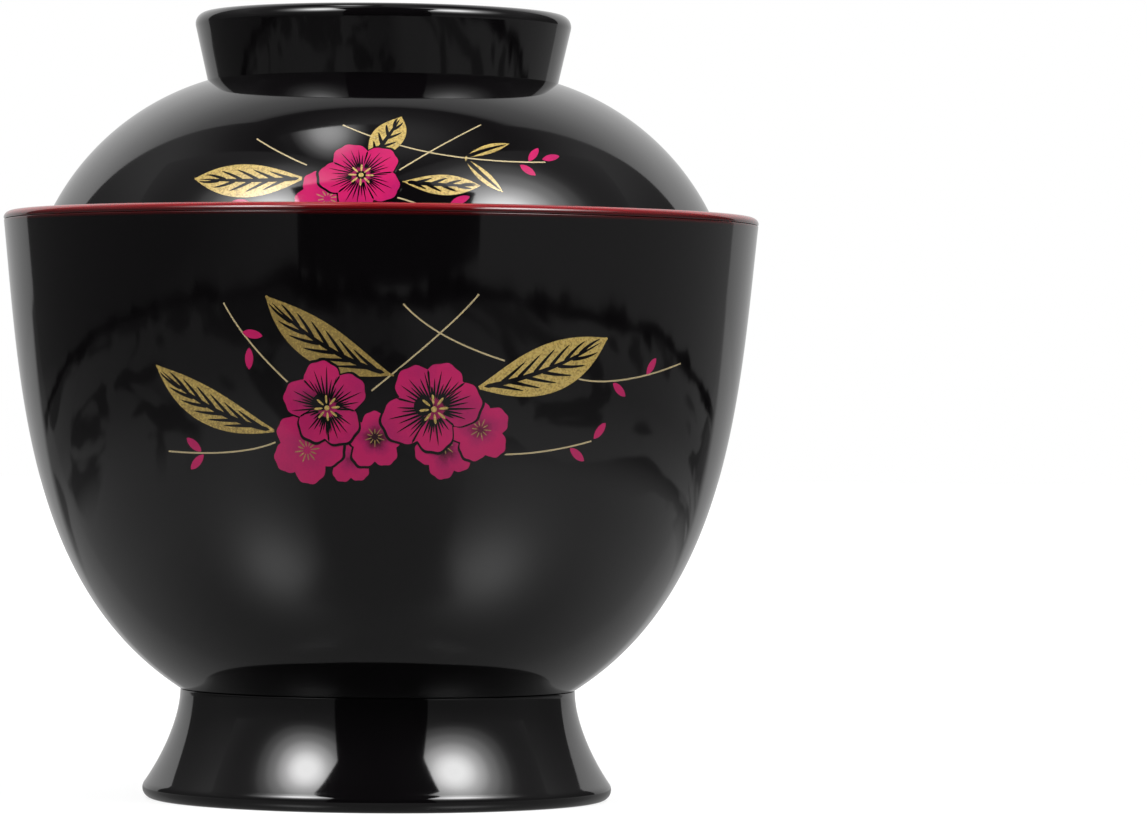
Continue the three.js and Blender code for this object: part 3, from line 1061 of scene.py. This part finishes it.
def panel(name, corners, material):
    """A flat stage panel with four corners, mapped from 0 to 1 across and up."""
    mesh = bpy.data.meshes.new(name)
    mesh.from_pydata([tuple(corner) for corner in corners], [], [(0, 1, 2, 3)])
    mesh.uv_layers.new().data.foreach_set("uv", (0, 0, 1, 0, 1, 1, 0, 1))
    mesh.materials.append(material)
    board = bpy.data.objects.new(name, mesh)
    bpy.context.scene.collection.objects.link(board)
    board.visible_camera = False
    board.visible_shadow = False
    return board


def softbox_corners(azimuth):
    """Corners of a softbox that faces the aim from a direction, measured from -Y towards +X."""
    azimuth, elevation = radians(azimuth), radians(SOFTBOX_ELEVATION)
    back = np.array((sin(azimuth) * cos(elevation), -cos(azimuth) * cos(elevation), sin(elevation)))
    side = np.array((cos(azimuth), sin(azimuth), 0.0))
    up = np.cross(back, side)
    middle = np.asarray(AIM) + SOFTBOX_DISTANCE * back
    across, rise = 0.5 * SOFTBOX_WIDE * side, 0.5 * SOFTBOX_TALL * up
    return middle - across - rise, middle + across - rise, middle + across + rise, middle - across + rise


def grey_stops(stops):
    """Stops of a ramp from places and levels of grey."""
    return [(place, (level, level, level)) for place, level in stops]


def lit_panel(name, radiance, axes, centre, stops, corners):
    """A panel of lit cloth, whose light falls off by stops away from a point or line of its UV square."""
    material, node, place = new_material(name.replace("_", " ").capitalize() + " cloth", "UV")
    flat = node("VectorMath", (place, axes), operation="MULTIPLY")
    reach = node("VectorMath", (flat, centre), operation="DISTANCE").outputs["Value"]
    ramp = node("ValToRGB", (reach,))
    set_stops(ramp, grey_stops(stops), "CARDINAL")
    shader = node("Emission", {"Color": ramp, "Strength": radiance})
    node("OutputMaterial", (shader,))
    return panel(name, corners, material)


def table_cloth():
    """Table cloth: white with the bowl's shadow to the camera; in the lacquer's mirror it glows with painted
    light, grey with folds.
    """
    material, node, place = new_material("Table cloth")
    path = node("LightPath").outputs
    axes = node("SeparateXYZ", (place,)).outputs
    across = axes["X"]
    reach = node("VectorMath", (place,), operation="LENGTH").outputs["Value"]
    side = node("Math", (across,), operation="ABSOLUTE")
    folds = node("TexNoise", {"Vector": place, "Scale": per_mm(FOLD_SIZE), "Detail": 2.0, "Distortion": 2.2})
    # Painted shade: folds lie dark and ragged on the cloth, but not close to the bowl
    painted_fold_shade = node("MapRange", (folds, 0.4, 0.47, 0.35), **SMOOTH)
    close = node("MapRange", (reach, 0.24, 0.14), **SMOOTH)
    lit = node("Math", (painted_fold_shade, close), operation="MAXIMUM")
    # Painted light: the cloth is paler to the sides, most to the right, and brighter in a pool close to the
    # bowl
    painted_side_light = node("MapRange", (side, 0.02, 0.1, 0.25, 0.4), **SMOOTH)
    tone = node("Math", (across, 0.2, painted_side_light), operation="MULTIPLY_ADD")
    painted_pool = node("MapRange", (reach, 0.15, 0.32, 1.0, 0.55), **SMOOTH)
    near_tone = node("Math", (tone, painted_pool), operation="MULTIPLY")
    cloth = node("Math", (near_tone, lit), operation="MULTIPLY")
    # It ends in a dark wavy brink, 0.42 m ahead and 0.5 m to the sides, with the room's floor beyond, painted
    # paler to the right
    oval = node("VectorMath", (place, (0.84, 1.0, 1.0)), operation="MULTIPLY")
    out = node("VectorMath", (oval,), operation="LENGTH").outputs["Value"]
    brink = node("Math", (folds, 0.16, out), operation="MULTIPLY_ADD")
    near = node("MapRange", (brink, 0.51, 0.49), **SMOOTH)
    far = node("MapRange", (brink, 0.545, 0.555), **SMOOTH)
    floor = node("MapRange", (across, -0.55, 0.0, 0.08, 0.26))
    beyond = node("Math", (far, floor), operation="MULTIPLY")
    ahead = node("Math", (near, cloth, beyond), operation="MULTIPLY_ADD")
    # Behind the bowl a wedge of it glows with painted light, as if lit by the white screen
    wedge = node("Math", (axes["Y"], side), operation="SUBTRACT")
    behind = node("MapRange", (wedge, -0.03, 0.05, 0.0, 0.55), **SMOOTH)
    seen = node("Math", (ahead, behind), operation="MAXIMUM")
    mirrored = node("Emission", {"Strength": seen})
    sheen = node("BsdfGlossy", {"Color": (0.07, 0.07, 0.07, 1.0), "Roughness": 0.2})
    glossy = node("AddShader", (mirrored, sheen))
    # To the camera it is white away from the bowl, and lets the shadow show close to it
    rise = node("MapRange", (reach, 0.15, 0.5, 0.78), **SMOOTH)
    white = node("Math", (path["Is Camera Ray"], rise), operation="MULTIPLY")
    lift = node("Emission", {"Strength": white})
    pale = node("BsdfDiffuse", {"Color": (0.25, 0.25, 0.25, 1.0)})
    plain = node("AddShader", (lift, pale))
    shader = node("MixShader", (path["Is Glossy Ray"], plain, glossy))
    node("OutputMaterial", (shader,))
    material.cycles.emission_sampling = "NONE"
    return material


def studio_world(ambient):
    """White to the camera, soft light from above on matt colours, and a dim room in the lacquer's mirror."""
    world = bpy.data.worlds.new("Studio room")
    world.use_nodes = True
    world.node_tree.nodes.clear()
    node = partial(add_node, world.node_tree)
    path = node("LightPath").outputs
    axes = node("SeparateXYZ", (node("TexCoord").outputs["Generated"],)).outputs
    rise = node("ValToRGB", (axes["Z"],))
    set_stops(rise, grey_stops(ROOM_STOPS), "CARDINAL")
    depth = node("MapRange", (axes["Y"], 0.0, 0.7, 1.0, 0.45), **SMOOTH)
    room = node("Math", (rise, depth), operation="MULTIPLY")
    mirrored = node("Background", {"Strength": room})
    above = node("MapRange", (axes["Z"], 0.0, 1.0, 0.04, ambient))
    even = node("Background", {"Strength": above})
    white = node("Background", {"Color": (1.0, 1.0, 1.0, 1.0), "Strength": 1.0})
    indirect = node("MixShader", (path["Is Glossy Ray"], even, mirrored))
    shader = node("MixShader", (path["Is Camera Ray"], indirect, white))
    node("OutputWorld", (shader,))
    return world


# Operators


def forms(context):
    """The forms of the bowl and of the lid."""
    sizes = context.scene.soup_bowl.sizes
    return BowlForm(sizes), LidForm(sizes)


def add_turned(context, name, section, body, slot, node):
    """One turned piece in the finish of its slot, in place of its CAD node."""
    points, faces = turned(section, context.scene.soup_bowl.sides)
    add_piece(name, points, faces, finish(slot, context), body, node)


def add_print(context, body, skin, entries):
    """The printed spray of a body, as one piece for each ink."""
    spray = Spray(skin, context.scene.soup_bowl.spray)
    spray.draw(**entries)
    spray.gold.piece(body + "_print_gold", finish("gold_print", context), body, "gold_print")
    spray.pink.piece(body + "_print_pink", finish("pink_print", context), body, "pink_print")
    spray.black.piece(body + "_print_black", finish("black_lacquer", context), body, "black_lacquer")


class SOUPBOWL_OT_shells(bpy.types.Operator):
    """Add the black outsides of the bowl and of the lid"""

    bl_idname = "soupbowl.shells"
    bl_label = "Black shells"

    def execute(self, context):
        bowl, lid = forms(context)
        add_turned(context, "bowl_black_shell", bowl.shell(), "bowl", "black_lacquer", "bowl_shell")
        add_turned(context, "lid_black_dome", lid.shell(), "lid", "black_lacquer", "lid_shell")
        return {"FINISHED"}


class SOUPBOWL_OT_layers(bpy.types.Operator):
    """Add the red inner layers of the bowl and of the lid"""

    bl_idname = "soupbowl.layers"
    bl_label = "Red layers"

    def execute(self, context):
        bowl, lid = forms(context)
        add_turned(context, "bowl_red_layer", bowl.liner(), "bowl", "red_lacquer", "bowl_liner")
        add_turned(context, "lid_red_layer", lid.liner(), "lid", "red_lacquer", "lid_liner")
        return {"FINISHED"}


class SOUPBOWL_OT_rings(bpy.types.Operator):
    """Add the flared foot under the bowl and the flared ring knob on the lid"""

    bl_idname = "soupbowl.rings"
    bl_label = "Foot and knob"

    def execute(self, context):
        bowl, lid = forms(context)
        add_turned(context, "bowl_black_foot", bowl.foot_section(), "bowl", "black_lacquer", "foot_ring")
        add_turned(context, "lid_black_knob", lid.knob_section(), "lid", "black_lacquer", "lid_knob_ring")
        return {"FINISHED"}


class SOUPBOWL_OT_prints(bpy.types.Operator):
    """Add the sprays printed on the front of the bowl and of the lid"""

    bl_idname = "soupbowl.prints"
    bl_label = "Printed sprays"

    def execute(self, context):
        bowl, lid = forms(context)
        add_print(context, "bowl", bowl_skin(bowl), BOWL_SPRAY)
        add_print(context, "lid", lid_skin(lid), LID_SPRAY)
        return {"FINISHED"}


class SOUPBOWL_OT_stage(bpy.types.Operator):
    """Add the table, the white screen, the lights and the camera"""

    bl_idname = "soupbowl.stage"
    bl_label = "Stage"

    def execute(self, context):
        scene = context.scene
        studio = scene.soup_bowl.studio
        panel("table", TABLE, table_cloth()).visible_camera = True
        # Each lit panel has the scale of its UV square and, at that scale, the point where its stops start
        lit_panel("white_screen", studio.screen, (0, 1, 0), (0, 0, 0), SCREEN_STOPS, WHITE_SCREEN)
        for side, azimuth, narrow in SOFTBOXES:
            axes, middle = (narrow, 1, 0), (narrow / 2, 0.5, 0)
            corners = softbox_corners(azimuth)
            lit_panel(side + "_softbox", studio.softbox, axes, middle, SOFTBOX_STOPS, corners)
        lit_panel("overhead_lamp", studio.overhead, (2.4, 1.2, 0), (1.2, 1, 0), LAMP_STOPS, OVERHEAD_LAMP)
        # Black flags before the camera cut the softboxes' inner edges off in the lacquer's mirror
        for name, corners in (("low_flag", LOW_FLAG), ("high_flag", HIGH_FLAG)):
            flag = lit_panel(name, FLAG_LIGHT, (0, 0, 0), (0, 0, 0), FLAG_STOPS, corners)
            flag.visible_diffuse = False
        scene.world = studio_world(studio.ambient)
        scene.view_settings.view_transform = "Standard"
        lens = bpy.data.cameras.new("camera")
        lens.sensor_width = 36.0
        lens.lens = studio.lens
        lens.clip_start = 0.01
        camera = bpy.data.objects.new("camera", lens)
        camera.location = (studio.eye_side, -studio.eye_back, studio.eye_height)
        camera.rotation_euler = (pi / 2, studio.roll, 0)
        scene.collection.objects.link(camera)
        scene.camera = camera
        return {"FINISHED"}


OPERATORS = (
    SOUPBOWL_OT_shells,
    SOUPBOWL_OT_layers,
    SOUPBOWL_OT_rings,
    SOUPBOWL_OT_prints,
    SOUPBOWL_OT_stage,
)


class SOUPBOWL_PT_sidebar(bpy.types.Panel):
    """Settings and steps of the soup bowl"""

    bl_idname = "SOUPBOWL_PT_sidebar"
    bl_label = "Soup Bowl"
    bl_space_type = "VIEW_3D"
    bl_region_type = "UI"
    bl_category = "Soup Bowl"

    def draw(self, context):
        settings = context.scene.soup_bowl
        self.layout.prop(settings, "sides")
        for group in (settings.sizes, settings.spray, settings.finishes, settings.studio):
            box = self.layout.box()
            for name in type(group).__annotations__:
                box.prop(group, name)
        for operator in OPERATORS:
            self.layout.operator(operator.bl_idname)


GROUPS = (TurnedSizes, PrintSizes, Finishes, StudioSizes, SoupBowlSettings)
CLASSES = (*GROUPS, *OPERATORS, SOUPBOWL_PT_sidebar)


def register():
    for entry in CLASSES:
        bpy.utils.register_class(entry)
    bpy.types.Scene.soup_bowl = PointerProperty(
        name="Soup bowl", description="Settings of the soup bowl", type=SoupBowlSettings
    )


def unregister():
    del bpy.types.Scene.soup_bowl
    for entry in reversed(CLASSES):
        bpy.utils.unregister_class(entry)


def main():
    """Builds every piece and the stage."""
    register()
    bpy.ops.soupbowl.shells()
    bpy.ops.soupbowl.layers()
    bpy.ops.soupbowl.rings()
    bpy.ops.soupbowl.prints()
    bpy.ops.soupbowl.stage()


if __name__ == "__main__":
    main()
